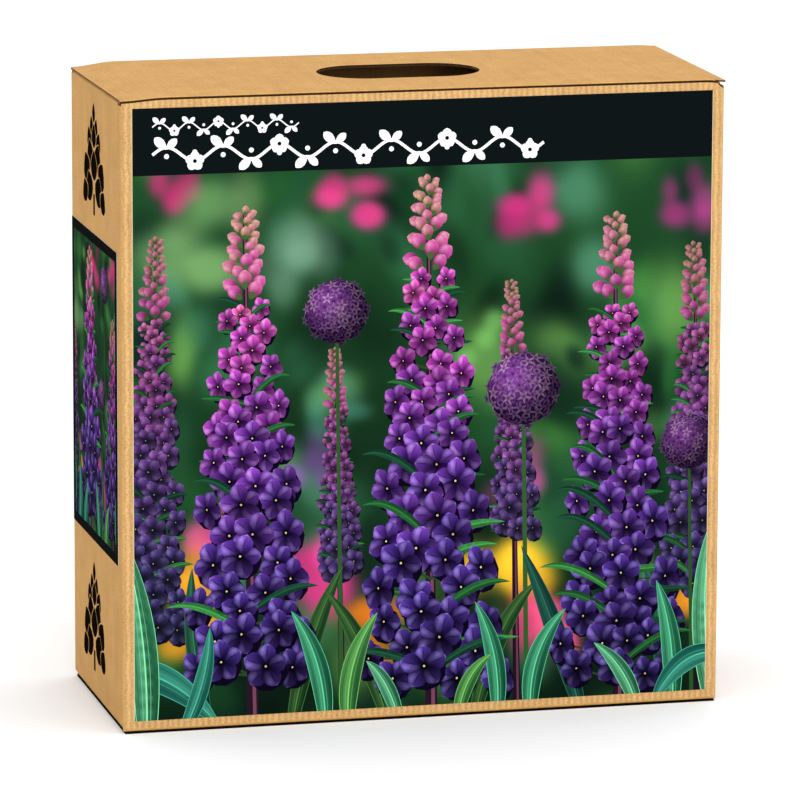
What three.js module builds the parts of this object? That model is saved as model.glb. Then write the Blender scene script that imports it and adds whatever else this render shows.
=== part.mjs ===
// A corrugated kraft carry carton: a folded sleeve with an overlapped base, a tuck-in lid with
// a hand slot, two dust flaps under it, and printed sheets glued to the front and both sides.
// Millimetres, +Z up. The origin is the middle of the base and the front faces -Y.
import * as THREE from "three";

// Driving sizes
const width = 348;
const depth = 144;
const height = 360;
const board = 1.5; // E-flute board
const sheet = 0.25; // printed paper with its varnish
const glue = 0.05; // glue line under a printed sheet
const foldGap = 0.3; // clearance along a crease between two panels

// Hand slot in the lid
const slotLength = 94;
const slotWidth = 54;
const slotCentre = [1, -2];

// Lid and its tuck flap
const lidGap = 0.8; // shadow gap over the front wall
const tuckDepth = 30;
const tuckLean = THREE.MathUtils.degToRad(7.5); // leans in, so it clears the front wall as it swings
const tuckFrontGap = 0.6;
const tuckSideGap = 3;
const tuckCorner = 14;

// Dust flaps: the rear edge falls back by half the length, so the rising lid always leads the flap
const dustLength = 84;
const dustFrontGap = 9;
const dustRearGap = 2.5;
const dustTaper = 0.5;
const dustCorner = 10;

// Side flaps of the base
const baseFlapLength = 110;
const baseFlapSideGap = 1.3;
const baseFlapTaper = 12;

// Glue flap inside the back wall
const glueFlapWidth = 32;
const glueFlapTaper = 12;
const glueFlapEndGap = 4;

// Cut at the front wall's top right corner
const cornerCutAcross = 4.5;
const cornerCutDown = 4;

// Printed sheets, measured from the front face's edges and from the floor
const frontMarginLeft = 6.5;
const frontMarginRight = 7;
const frontMarginTop = 6.3;
const frontMarginBottom = 6;
const sideMarginFront = 11.5;
const sideMarginBack = 2;
const sidePrintBottom = 93;
const sidePrintTop = 271.5;

// Planes worked out from them
const right = width / 2;
const back = depth / 2;
const skin = sheet + glue;
const sideFace = right - skin; // outer face of the left and right walls
const frontFace = back - skin; // outer face of the front wall, forward of the middle
const sideInside = sideFace - board;
const frontInside = -frontFace + board;
const backInside = back - board;
const lidUnder = height - board;
const flapTop = lidUnder - foldGap;
const flapUnder = flapTop - board;
const flapsUnder = board + foldGap; // underside of the base's side flaps, and foot of three walls
const innerUnder = 2 * flapsUnder; // underside of the inner base panel

const kraft = new THREE.MeshStandardMaterial({ color: 0xc79a62, roughness: 0.85, metalness: 0 });
const print = new THREE.MeshStandardMaterial({ color: 0x4a4260, roughness: 0.45, metalness: 0 });

// Turns for a panel drawn in XY and thickened along +Z: flat as drawn, upright and thickened
// towards the front, or upright and thickened towards the right
const flat = new THREE.Matrix4();
const frontwards = new THREE.Matrix4().makeBasis(
  new THREE.Vector3(1, 0, 0),
  new THREE.Vector3(0, 0, 1),
  new THREE.Vector3(0, -1, 0),
);
const rightwards = new THREE.Matrix4().makeBasis(
  new THREE.Vector3(0, 1, 0),
  new THREE.Vector3(0, 0, 1),
  new THREE.Vector3(1, 0, 0),
);

function outline(points) {
  return new THREE.Shape(points.map(([x, y]) => new THREE.Vector2(x, y)));
}

function rectangle(x0, y0, x1, y1) {
  return outline([[x0, y0], [x1, y0], [x1, y1], [x0, y1]]);
}

// A closed slab of the given outline
function panel(name, shape, thickness, turn, [x, y, z], material = kraft) {
  const geometry = new THREE.ExtrudeGeometry(shape, {
    depth: thickness,
    bevelEnabled: false,
    curveSegments: 10,
  });
  geometry.applyMatrix4(turn);
  const mesh = new THREE.Mesh(geometry, material);
  mesh.name = name;
  mesh.position.set(x, y, z);
  return mesh;
}

// Walls: the front and back run the full width and the sides stand between them
function sleeve() {
  const group = new THREE.Group();
  const frontTop = lidUnder - lidGap;
  const frontShape = outline([
    [-sideFace, flapsUnder],
    [sideFace, flapsUnder],
    [sideFace, frontTop - cornerCutDown],
    [sideFace - cornerCutAcross, frontTop],
    [-sideFace, frontTop],
  ]);
  group.add(panel("front_wall", frontShape, board, frontwards, [0, frontInside, 0]));

  const backFoot = innerUnder + board + foldGap;
  const backShape = rectangle(-sideFace, backFoot, sideFace, flapTop);
  group.add(panel("back_wall", backShape, board, frontwards, [0, back, 0]));

  const sideTop = flapUnder - foldGap;
  const sideShape = rectangle(frontInside + foldGap, flapsUnder, backInside - foldGap, sideTop);
  group.add(panel("left_wall", sideShape, board, rightwards, [-sideFace, 0, 0]));
  group.add(panel("right_wall", sideShape, board, rightwards, [sideFace - board, 0, 0]));

  // The glue flap lies on the back wall's inner face, beside the right wall
  const low = backFoot + glueFlapEndGap;
  const high = sideTop - glueFlapEndGap;
  const glueShape = outline([
    [sideInside - foldGap, low],
    [sideInside - foldGap, high],
    [sideInside - glueFlapWidth, high - glueFlapTaper],
    [sideInside - glueFlapWidth, low + glueFlapTaper],
  ]);
  group.add(panel("glue_flap", glueShape, board, frontwards, [0, backInside - foldGap, 0]));
  return group;
}

// Base: the inner panel folds from the back wall, the side flaps lie under it, and the outer
// panel folds from the front wall under them all
function base() {
  const group = new THREE.Group();
  const outerShape = rectangle(-sideFace, -frontFace, sideFace, back - foldGap);
  group.add(panel("base_outer_panel", outerShape, board, flat, [0, 0, 0]));

  const fold = sideInside - foldGap;
  const innerShape = rectangle(-fold, frontInside + foldGap, fold, back);
  group.add(panel("base_inner_panel", innerShape, board, flat, [0, 0, innerUnder]));

  const tip = fold - baseFlapLength;
  const front = frontInside + baseFlapSideGap;
  const rear = backInside - baseFlapSideGap;
  const flapShape = (side) => outline([
    [side * fold, front],
    [side * tip, front + baseFlapTaper],
    [side * tip, rear - baseFlapTaper],
    [side * fold, rear],
  ]);
  group.add(panel("base_flap_left", flapShape(-1), board, flat, [0, 0, flapsUnder]));
  group.add(panel("base_flap_right", flapShape(1), board, flat, [0, 0, flapsUnder]));
  return group;
}

// A hand slot with half-round ends
function slotPath() {
  const [x, y] = slotCentre;
  const reach = (slotLength - slotWidth) / 2;
  const radius = slotWidth / 2;
  const path = new THREE.Path();
  path.absarc(x + reach, y, radius, -Math.PI / 2, Math.PI / 2, false);
  path.absarc(x - reach, y, radius, Math.PI / 2, (3 * Math.PI) / 2, false);
  return path;
}

// Lid: folds from the back wall's top and covers the tops of the other walls
function lid() {
  const group = new THREE.Group();
  const lidShape = rectangle(-right, -back, right, back - foldGap);
  lidShape.holes.push(slotPath());
  group.add(panel("lid_panel", lidShape, board, flat, [0, 0, lidUnder]));

  // The tuck flap hangs behind the front wall, its free corners rounded off
  const half = sideInside - tuckSideGap;
  const tuckShape = new THREE.Shape();
  tuckShape.moveTo(-half, 0);
  tuckShape.lineTo(-half, -tuckDepth + tuckCorner);
  tuckShape.quadraticCurveTo(-half, -tuckDepth, -half + tuckCorner, -tuckDepth);
  tuckShape.lineTo(half - tuckCorner, -tuckDepth);
  tuckShape.quadraticCurveTo(half, -tuckDepth, half, -tuckDepth + tuckCorner);
  tuckShape.lineTo(half, 0);
  const tuckInside = frontInside + tuckFrontGap + board;
  const tuck = panel("tuck_flap", tuckShape, board, frontwards, [0, tuckInside, flapTop]);
  tuck.rotation.x = tuckLean;
  group.add(tuck);
  return group;
}

// Dust flap of one side: -1 for the left and 1 for the right
function dustFlap(side, name) {
  const hinge = side * (sideFace - foldGap);
  const tip = side * (sideFace - dustLength);
  const front = -back + dustFrontGap;
  const rearAtHinge = backInside - dustRearGap;
  const rearAtTip = rearAtHinge - dustTaper * dustLength;
  const shape = new THREE.Shape();
  shape.moveTo(hinge, front);
  shape.lineTo(hinge, rearAtHinge);
  shape.lineTo(tip, rearAtTip);
  shape.lineTo(tip, front + dustCorner);
  shape.quadraticCurveTo(tip, front, tip + side * dustCorner, front);
  return panel(name, shape, board, flat, [0, 0, flapUnder]);
}

// Printed sheets on the front and the two sides, flush with the lid's edges
function prints() {
  const group = new THREE.Group();
  const frontShape = rectangle(
    -right + frontMarginLeft,
    frontMarginBottom,
    right - frontMarginRight,
    height - frontMarginTop,
  );
  group.add(panel("front_print", frontShape, sheet, frontwards, [0, -back + sheet, 0], print));

  const sideShape = rectangle(
    -back + sideMarginFront,
    sidePrintBottom,
    back - sideMarginBack,
    sidePrintTop,
  );
  group.add(panel("left_print", sideShape, sheet, rightwards, [-right, 0, 0], print));
  group.add(panel("right_print", sideShape, sheet, rightwards, [right - sheet, 0, 0], print));
  return group;
}

const carton = new THREE.Group();
carton.add(sleeve(), base(), lid());
carton.add(dustFlap(-1, "dust_flap_left"), dustFlap(1, "dust_flap_right"));
carton.add(prints());

export default carton;
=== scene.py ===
# A kraft carry carton: corrugated board folded from one blank, with printed paper glued on.
# Metres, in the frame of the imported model: the front faces -Y and the carton stands on Z 0.
import math
import random

import bmesh
import bpy
import numpy as np
from mathutils import Matrix, Vector
from mathutils.bvhtree import BVHTree
from mathutils.geometry import delaunay_2d_cdt


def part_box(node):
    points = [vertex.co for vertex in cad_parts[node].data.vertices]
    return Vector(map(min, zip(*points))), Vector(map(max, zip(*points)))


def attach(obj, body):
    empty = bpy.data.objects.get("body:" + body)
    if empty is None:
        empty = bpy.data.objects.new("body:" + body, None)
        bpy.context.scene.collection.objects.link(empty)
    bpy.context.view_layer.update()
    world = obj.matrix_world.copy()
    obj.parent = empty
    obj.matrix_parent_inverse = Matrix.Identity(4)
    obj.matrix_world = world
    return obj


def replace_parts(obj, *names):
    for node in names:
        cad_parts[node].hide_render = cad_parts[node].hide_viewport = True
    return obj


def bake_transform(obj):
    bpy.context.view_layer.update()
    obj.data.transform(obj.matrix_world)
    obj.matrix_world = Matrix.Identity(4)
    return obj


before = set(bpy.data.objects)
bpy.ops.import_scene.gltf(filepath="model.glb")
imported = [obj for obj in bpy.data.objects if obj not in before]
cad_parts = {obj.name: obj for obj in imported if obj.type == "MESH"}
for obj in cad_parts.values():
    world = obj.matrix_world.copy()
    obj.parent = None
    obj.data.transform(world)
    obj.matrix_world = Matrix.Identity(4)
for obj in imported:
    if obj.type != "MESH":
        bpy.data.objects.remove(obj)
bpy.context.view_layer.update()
mm = 0.001


def tone(code):
    return np.array([int(code[i:i + 2], 16) / 255 for i in (0, 2, 4)])


# From sRGB, in which all colours are written here, to the linear light of the shaders
def linear(colour):
    return np.where(colour <= 0.04045, colour / 12.92, ((colour + 0.055) / 1.055) ** 2.4)


def paint(code, tint=1.0):
    return (*linear(tone(code)) * tint, 1)


def smooth(value):
    value = min(max(value, 0.0), 1.0)
    return value * value * (3 - 2 * value)


def addNode(tree, kind, links=None, **settings):
    node = tree.nodes.new("ShaderNode" + kind)
    for name, value in settings.items():
        setattr(node, name, value)
    for socket, source in (links or {}).items():
        if isinstance(source, bpy.types.NodeSocket):
            tree.links.new(source, node.inputs[socket])
        else:
            node.inputs[socket].default_value = source
    return node


def newMaterial(name, roughness, ior, specular):
    material = bpy.data.materials.new(name)
    material.use_nodes = True
    shader = material.node_tree.nodes["Principled BSDF"]
    shader.inputs["Roughness"].default_value = roughness
    shader.inputs["IOR"].default_value = ior
    shader.inputs["Specular IOR Level"].default_value = specular
    return material, material.node_tree, shader


def noise(tree, place, size, detail=2.0, **more):
    links = {"Vector": place, "Scale": 1 / size, "Detail": detail, **more}
    return addNode(tree, "TexNoise", links).outputs["Fac"]


def remap(tree, value, low, high, toLow=0.0, toHigh=1.0):
    links = {"Value": value, "From Min": low, "From Max": high, "To Min": toLow, "To Max": toHigh}
    return addNode(tree, "MapRange", links).outputs["Result"]


def compute(tree, operation, *values):
    return addNode(tree, "Math", dict(enumerate(values)), operation=operation).outputs[0]


def scaled(tree, colour, factor):
    return addNode(tree, "VectorMath", {0: colour, "Scale": factor}, operation="SCALE").outputs[0]


def mixed(tree, share, dark, light):
    return addNode(tree, "Mix", {0: share, 6: dark, 7: light}, data_type="RGBA").outputs[2]


def connect(tree, shader, colour, height=None, depth=0.0, strength=1.0):
    tree.links.new(colour, shader.inputs["Base Color"])
    if height is not None:
        bump = addNode(tree, "Bump", {"Height": height, "Distance": depth, "Strength": strength})
        tree.links.new(bump.outputs["Normal"], shader.inputs["Normal"])


kraft = {
    "light": "b78b4c",
    "dark": "ae8246",
    "ribPitch": 3.4 * mm,  # the flutes under the liner
    "ribDepth": 0.022 * mm,
    "ribDrift": 11 * mm,  # the ribs wander a little over this length
    "fibre": 1.1 * mm,  # real fibres are finer, drawn as coarse as they need to show
    "cloud": 16 * mm,
    "streak": (5 * mm, 90 * mm),  # width and length of the streaks that run up the sheet
}


# Kraft liner, uncoated and machine made: matt, warm brown, cloudy, streaked along the machine's
# way and flecked with darker fibres, with the flutes showing through as ribs: a bump, with painted highlight
# and shade along it
def kraftLiner(name, ribPaintedShade, fleckTint, tint):
    material, tree, shader = newMaterial(name, 0.86, 1.48, 0.3)
    place = addNode(tree, "TexCoord").outputs["Object"]
    blank = addNode(tree, "UVMap", uv_map="blank").outputs["UV"]
    cloud = remap(tree, noise(tree, place, kraft["cloud"], 3.0), 0.32, 0.68)
    base = mixed(tree, cloud, paint(kraft["dark"], tint), paint(kraft["light"], tint))
    across = addNode(tree, "SeparateXYZ", {"Vector": blank}).outputs["X"]
    turns = compute(tree, "MULTIPLY", across, 2 * math.pi / kraft["ribPitch"])
    drift = compute(tree, "MULTIPLY", noise(tree, blank, kraft["ribDrift"]), 5.0)
    rib = compute(tree, "SINE", compute(tree, "ADD", turns, drift))
    # the ribs' light and dark bands are painted highlight and shade, following the bump
    ribs = remap(tree, rib, -1.0, 1.0, 1 - ribPaintedShade, 1 + ribPaintedShade)
    wide, long = kraft["streak"]
    stretched = addNode(tree, "Mapping", {"Vector": blank, "Scale": (1 / wide, 1 / long, 1.0)}).outputs[0]
    streaks = remap(tree, noise(tree, stretched, 1.0, 4.0, Roughness=0.65), 0.3, 0.7, 0.94, 1.06)
    fleck = noise(tree, place, kraft["fibre"])
    flecks = remap(tree, fleck, 0.3, 0.6, 1 - fleckTint, 1.05)
    shade = compute(tree, "MULTIPLY", ribs, compute(tree, "MULTIPLY", streaks, flecks))
    height = compute(tree, "ADD", rib, fleck)
    connect(tree, shader, scaled(tree, base, shade), height, kraft["ribDepth"], 0.6)
    return material


# Paper whose colour wavers between two tones: the fluting medium, semi-chemical pulp that is
# greyer, duller and rougher than the liner, and flexo ink straight on the kraft
def grainyPaper(name, roughness, specular, size, dark, light):
    material, tree, shader = newMaterial(name, roughness, 1.48, specular)
    place = addNode(tree, "TexCoord").outputs["Object"]
    connect(tree, shader, mixed(tree, noise(tree, place, size), paint(dark), paint(light)))
    return material


board = {
    "thickness": 1.5 * mm,
    "liner": 0.26 * mm,
    "fluting": 0.16 * mm,
    "pitch": 3.4 * mm,
    "pointsPerFlute": 10,
}
papers = (
    kraftLiner("kraft_liner", 0.022, 0.18, (1, 1, 1)),
    grainyPaper("fluting_medium", 0.95, 0.2, 0.8 * mm, "5c4226", "8a6a42"),
    # the front's liner: stronger ribs, and a paler, lighter tint that is painted light
    kraftLiner("kraft_liner_washboard_painted_light", 0.14, 0.24, (1.0, 1.09, 1.5)),
    kraftLiner("kraft_liner_painted_shade", 0.02, 0.2, (0.12, 0.09, 0.08)),  # kraft liner darkened almost to black: painted shade in the hand slot, the seams and under the lid's front fold
    kraftLiner("recycled_inner_liner", 0.03, 0.2, (0.46, 0.42, 0.42)),
)
outerSlot, flutingSlot, washboardPaintedLightSlot, paintedShadeSlot, innerSlot = range(5)


# One paper layer of a flat board: x runs across the flutes, y along them, z from the inner face
# to the outer. Columns are places in x; low and high give the outline's y at each of them
def addLayer(bm, columns, shares, low, high, height, thickness, material):
    known = len(bm.faces)
    grid = bmesh.ops.create_grid(bm, x_segments=len(columns) - 1, y_segments=len(shares) - 1, size=0.5)
    for vert in grid["verts"]:
        x = columns[round((vert.co.x + 0.5) * (len(columns) - 1))]
        share = shares[round((vert.co.y + 0.5) * (len(shares) - 1))]
        vert.co = (x, low(x) + (high(x) - low(x)) * share, height(x))
    bm.faces.ensure_lookup_table()
    bmesh.ops.solidify(bm, geom=bm.faces[known:], thickness=thickness)
    bm.faces.ensure_lookup_table()
    for face in bm.faces[known:]:
        face.material_index = material


# Corrugated board, flat as it leaves the die: outer liner, fluting and inner liner
def flatBoard(columns, shares, low, high):
    bm = bmesh.new()
    t = board["thickness"]
    room = t / 2 - board["liner"] - board["fluting"] * 0.75
    count = round((columns[-1] - columns[0]) / board["pitch"] * board["pointsPerFlute"])
    waves = list(np.linspace(columns[0], columns[-1], count + 1))
    turn = 2 * math.pi / board["pitch"]
    addLayer(bm, columns, shares, low, high, lambda x: t, board["liner"], outerSlot)
    addLayer(bm, columns, shares, low, high, lambda x: board["liner"], board["liner"], innerSlot)
    addLayer(bm, waves, shares, low, high,
             lambda x: (t + board["fluting"]) / 2 + room * math.sin(turn * x), board["fluting"], flutingSlot)
    return bm


# How far the edge falls back at a rounded corner, this far along its radius
def cornerLoss(along, radius):
    along = min(max(along, 0), radius)
    return radius - math.sqrt(radius ** 2 - along ** 2)


# Where each point lies on the flat blank, so that ribs and streaks follow the folds
def drawBlank(bm, place=lambda co: (co.x, co.y)):
    layer = bm.loops.layers.uv.new("blank")
    for face in bm.faces:
        for loop in face.loops:
            loop[layer].uv = place(loop.vert.co)


def shiftBy(bm, vec, geom=None):
    verts = [item for item in geom or bm.verts if isinstance(item, bmesh.types.BMVert)]
    bmesh.ops.translate(bm, vec=vec, verts=verts)


def splitAt(bm, place, normal):
    bmesh.ops.bisect_plane(bm, geom=bm.verts[:] + bm.edges[:] + bm.faces[:], plane_co=place,
                           plane_no=normal)


def meshPiece(name, bm, materials):
    mesh = bpy.data.meshes.new(name)
    bm.to_mesh(mesh)
    bm.free()
    for material in materials:
        mesh.materials.append(material)
    mesh.shade_smooth()
    mesh.set_sharp_from_angle(angle=math.radians(40))
    piece = bpy.data.objects.new(name, mesh)
    bpy.context.scene.collection.objects.link(piece)
    return piece


def boardPiece(name, bm, body, nodes=()):
    piece = meshPiece(name, bm, papers)
    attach(piece, body)
    if nodes:
        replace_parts(piece, *nodes)


def cutThrough(bm, cutter):
    holder = meshPiece("cut_board", bm, papers)
    tool = meshPiece("cut_tool", cutter, ())
    modifier = holder.modifiers.new("cut", "BOOLEAN")
    modifier.object = tool
    modifier.operation = "DIFFERENCE"
    modifier.solver = "EXACT"
    bpy.context.view_layer.update()
    cut = bpy.data.meshes.new_from_object(holder.evaluated_get(bpy.context.evaluated_depsgraph_get()))
    result = bmesh.new()
    result.from_mesh(cut)
    bpy.data.objects.remove(holder)
    bpy.data.objects.remove(tool)
    return result


# Runs and quarter turns of a folded board, along its outer face
def foldPath(corners, radius):
    runs = []
    here = Vector(corners[0])
    total = 0.0
    for i in range(1, len(corners)):
        corner = Vector(corners[i])
        way = (corner - here).normalized()
        last = i == len(corners) - 1
        length = (corner - here).length - (0 if last else radius)
        runs.append({"start": total, "end": total + length, "from": here, "way": way})
        total += length
        if last:
            break
        out = Vector((way.y, -way.x))
        turnStart = here + way * length
        runs.append({"start": total, "end": total + radius * math.pi / 2,
                     "centre": turnStart - out * radius, "out": out, "way": way})
        total += radius * math.pi / 2
        here = corner + Vector(-out) * radius
    return runs


def onPath(runs, distance, radius):
    for run in runs:
        if distance <= run["end"] or run is runs[-1]:
            break
    along = distance - run["start"]
    if "from" in run:
        out = Vector((run["way"].y, -run["way"].x))
        return run["from"] + run["way"] * along, out
    angle = along / radius
    out = run["out"] * math.cos(angle) + run["way"] * math.sin(angle)
    return run["centre"] + out * radius, out


# A crease between two panels: a short radius of crushed board, turned about the fold's own axis
def creaseRoll(start, end, centre, first):
    bm = bmesh.new()
    along = (Vector(end) - Vector(start)).normalized()
    out = Vector(first).normalized()
    corners = [Vector(start) + out * rollInside, Vector(end) + out * rollInside,
               Vector(end) + out * roll, Vector(start) + out * roll]
    bm.faces.new([bm.verts.new(Vector(centre) + corner) for corner in corners])
    bmesh.ops.spin(bm, geom=bm.verts[:] + bm.edges[:] + bm.faces[:], cent=centre, axis=along,
                   dvec=(0, 0, 0), angle=math.pi / 2, steps=12, use_merge=False, use_duplicate=False)
    bmesh.ops.recalc_face_normals(bm, faces=bm.faces[:])
    drawBlank(bm, lambda co: (co.dot(along), co.z + co.x + co.y - co.dot(along)))
    return bm


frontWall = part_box("front_wall")
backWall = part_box("back_wall")
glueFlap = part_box("glue_flap")
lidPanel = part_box("lid_panel")
sideFace = frontWall[1].x
frontFace = frontWall[0].y
backFace = backWall[1].y
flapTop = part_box("dust_flap_left")[1].z
roll = 1.65 * mm  # outer radius of a creased fold
rollInside = 0.15 * mm

# The lid has settled along its two sides
settled = {
    "foot": 350 * mm,  # nothing sags below this height, and all of it this much higher
    "over": 8 * mm,
    # side, how far in, and how deep at the front and rear
    "sides": ((-1, 26 * mm, 1.5 * mm, 2.6 * mm), (1, 11 * mm, 0.9 * mm, 0.6 * mm)),
}


def settleTop(verts):
    deep = lidPanel[1].y - lidPanel[0].y
    for vert in verts:
        share = smooth((vert.co.z - settled["foot"]) / settled["over"])
        rear = min(max((vert.co.y - lidPanel[0].y) / deep, 0.0), 1.0)
        for side, reach, front, back in settled["sides"]:
            near = smooth((side * vert.co.x - lidPanel[1].x + reach) / reach)
            vert.co.z -= share * near * (front + (back - front) * rear)


sleeve = {
    "foldRadius": 1.9 * mm,
    "frontRise": 0.4 * mm,  # the front wall's edge stands a little into the crushed fold above it
    "cutAcross": 4.5 * mm,
    "cutDown": 4 * mm,
    "glueTaper": 12 / 32,
    "lowerRoll": 1.6 * mm,  # foot of the side walls' folds
    "cornerFoot": 0.4 * mm,  # the front corners bulge down beside the base's fold
    # where the columns stand closer to follow the sag: bend, way, first, last and step in mm
    "closer": ((1, 1, 4, 34, 3), (0, -1, 4, 34, 3), (2, -1, 6, 30, 3), (0, 1, 3, 15, 2), (1, -1, 3, 15, 2)),
}


def makeSleeve():
    radius = sleeve["foldRadius"]
    corners = [(sideFace, backFace), (-sideFace, backFace), (-sideFace, frontFace), (sideFace, frontFace),
               (sideFace, glueFlap[1].y), (glueFlap[0].x, glueFlap[1].y)]
    runs = foldPath(corners, radius)
    bends = [(run["start"] + run["end"]) / 2 for run in runs if "centre" in run]
    cutStart = bends[2] - radius * math.pi / 4 + radius - sleeve["cutAcross"]

    def panelOf(distance):
        return sum(distance > bend for bend in bends)

    def top(distance):
        panel = panelOf(distance)
        if panel == 0:
            return lidPanel[1].z - roll
        if panel == 2:
            cut = max(0, distance - cutStart) / sleeve["cutAcross"]
            return frontWall[1].z + sleeve["frontRise"] - sleeve["cutDown"] * cut
        if panel == 4:
            return glueFlap[1].z - (distance - bends[3]) * sleeve["glueTaper"]
        return flapTop - roll

    def foot(distance):
        panel = panelOf(distance)
        if min(abs(distance - bend) for bend in bends[1:3]) < radius * 0.78:
            return sleeve["cornerFoot"]
        if panel == 0:
            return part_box("base_inner_panel")[0].z + roll
        if panel == 2:
            return roll
        if panel == 4:
            return glueFlap[0].z + (distance - bends[3]) * sleeve["glueTaper"]
        return sleeve["lowerRoll"] + roll

    columns = {0.0, runs[-1]["end"], cutStart}
    for run in runs:
        if "centre" in run:
            turn = np.linspace(run["start"], run["end"], 9)
            columns.update((*turn[:4], *turn[5:], turn[4] - 0.1 * mm, turn[4] + 0.1 * mm))
    for bend, way, first, last, step in sleeve["closer"]:
        columns.update(bends[bend] + way * np.arange(first, last, step) * mm)
    bm = flatBoard(sorted(columns), (0, 0.97, 1), foot, top)
    drawBlank(bm)
    for face in bm.faces:
        centre = face.calc_center_median()
        # the front panel's outer face takes the liner's paler copy, painted light
        if face.material_index == outerSlot and panelOf(centre.x) == 2:
            face.material_index = washboardPaintedLightSlot
        if cutStart < centre.x < bends[2] + radius and face.normal.y > 0.3:
            face.material_index = washboardPaintedLightSlot  # the corner cut's edge takes the front's paler liner too: painted light over the shade along it
    for vert in bm.verts:
        point, out = onPath(runs, vert.co.x, radius)
        place = point + out * (vert.co.z - board["thickness"])
        vert.co = (place.x, place.y, vert.co.y)
    settleTop(bm.verts)
    boardPiece("sleeve_board", bm, "sleeve",
               ("front_wall", "back_wall", "left_wall", "right_wall", "glue_flap"))


# Lays a flat board in place: where its x, y and outer face point, and where its origin goes
def layBoard(name, bm, body, node, xWay, yWay, outWay, origin, sags=False):
    drawBlank(bm)
    turn = Matrix((xWay, yWay, outWay)).transposed().to_4x4()
    bmesh.ops.transform(bm, matrix=Matrix.Translation(origin) @ turn, verts=bm.verts[:])
    if sags:
        settleTop(bm.verts)
    boardPiece(name, bm, body, (node,))


lid = {
    "slotLength": 94 * mm,
    "slotWidth": 54 * mm,
    "slotCentre": (1 * mm, -2 * mm),
    "nose": 0.55 * mm,  # radius of the folded front edge, where the board is crushed thin
    "paintedShadeTip": 7 * mm,  # tip of the front fold beside the corner cut, painted dark as shade
    "crushedFront": (-67 * mm, 4 * mm),  # where the board starts to be crushed, and over what width
    "crushedSides": (3.2 * mm, 3 * mm),  # the same at the sides, in from their edges
    "rows": (-71.45, -69.8, -68, -65.5, -62.5, -58, -48, -30, -8, 14, 36, 52, 60, 65, 70.35),
}


def makeLid():
    left, right = lidPanel[0].x, lidPanel[1].x
    rows = [row * mm for row in lid["rows"]]
    shares = [(row - rows[0]) / (rows[-1] - rows[0]) for row in rows]
    columns = list(np.linspace(left, right, 117))
    bm = flatBoard(columns, shares, lambda x: rows[0], lambda x: rows[-1])
    cutter = bmesh.new()
    bmesh.ops.create_cube(cutter, size=1)
    bmesh.ops.scale(cutter, vec=(lid["slotLength"], lid["slotWidth"], 20 * mm), verts=cutter.verts[:])
    upright = [edge for edge in cutter.edges if abs(edge.verts[0].co.z - edge.verts[1].co.z) > mm]
    bmesh.ops.bevel(cutter, geom=upright, offset=lid["slotWidth"] / 2 - 0.05 * mm, affect="EDGES",
                    segments=18, profile=0.5, material=-1)
    shiftBy(cutter, (*lid["slotCentre"], 0))
    bm = cutThrough(bm, cutter)
    drawBlank(bm)
    # the hand slot's cut edges are painted near black as shade
    for face in bm.faces:
        centre = face.calc_center_median() - Vector((*lid["slotCentre"], 0))
        within = abs(centre.x) < lid["slotLength"] / 2 + mm and abs(centre.y) < lid["slotWidth"] / 2 + mm
        if within and abs(face.normal.z) < 0.3:
            face.material_index = paintedShadeSlot
    crushed = 1 - 2 * lid["nose"] / board["thickness"]
    frontStart, frontWidth = lid["crushedFront"]
    sideStart, sideWidth = lid["crushedSides"]
    for vert in bm.verts:
        share = max(smooth((frontStart - vert.co.y) / frontWidth),
                    smooth((abs(vert.co.x) - right + sideStart) / sideWidth))
        vert.co.z += (board["thickness"] - vert.co.z) * crushed * share
    shiftBy(bm, (0, 0, lidPanel[0].z))
    settleTop(bm.verts)
    boardPiece("lid_board", bm, "lid", ("lid_panel",))

    bm = bmesh.new()  # the folded front edge, where the tuck flap turns under
    bmesh.ops.create_cone(bm, cap_ends=True, segments=20, radius1=lid["nose"], radius2=lid["nose"],
                          depth=right - left)
    bmesh.ops.rotate(bm, cent=(0, 0, 0), matrix=Matrix.Rotation(math.pi / 2, 3, "Y"), verts=bm.verts[:])
    shiftBy(bm, (0, rows[0], lidPanel[1].z - lid["nose"]))
    for x in columns[1:-1]:
        splitAt(bm, (x, 0, 0), (1, 0, 0))
    drawBlank(bm)
    # the fold's underside is painted dark as shade, and at its right tip all but its top
    for face in bm.faces:
        tip = face.calc_center_median().x > right - lid["paintedShadeTip"]
        if face.normal.z < (0.8 if tip else -0.1):
            face.material_index = paintedShadeSlot
    settleTop(bm.verts)
    boardPiece("lid_front_fold", bm, "lid")

    centre = (0, backFace - roll, lidPanel[1].z - roll)
    bm = creaseRoll((-sideFace, 0, 0), (sideFace, 0, 0), centre, (0, 1, 0))
    for x in np.arange(4, 22, 3) * mm - sideFace:
        splitAt(bm, (x, 0, 0), (1, 0, 0))
    blendRoll("lid_crease", bm)


# A crease as a piece of its own, attached to no body, settled with the sag of the panels beside it
def blendRoll(name, bm):
    piece = meshPiece(name, bm, (papers[outerSlot], papers[paintedShadeSlot]))
    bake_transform(piece)
    settleTop(piece.data.vertices)  # only now, so that each half settles with its own panel
    piece.data.update()


tuck = {
    "reach": 169.2 * mm,
    "depth": 30 * mm,
    "corner": 14 * mm,
    "inside": -68.1 * mm,  # its inner face at the top
    "lean": 7.5,
    "crushed": 1.6 * mm,  # width of the strip under the lid's front fold, painted dark as shade
}


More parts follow.
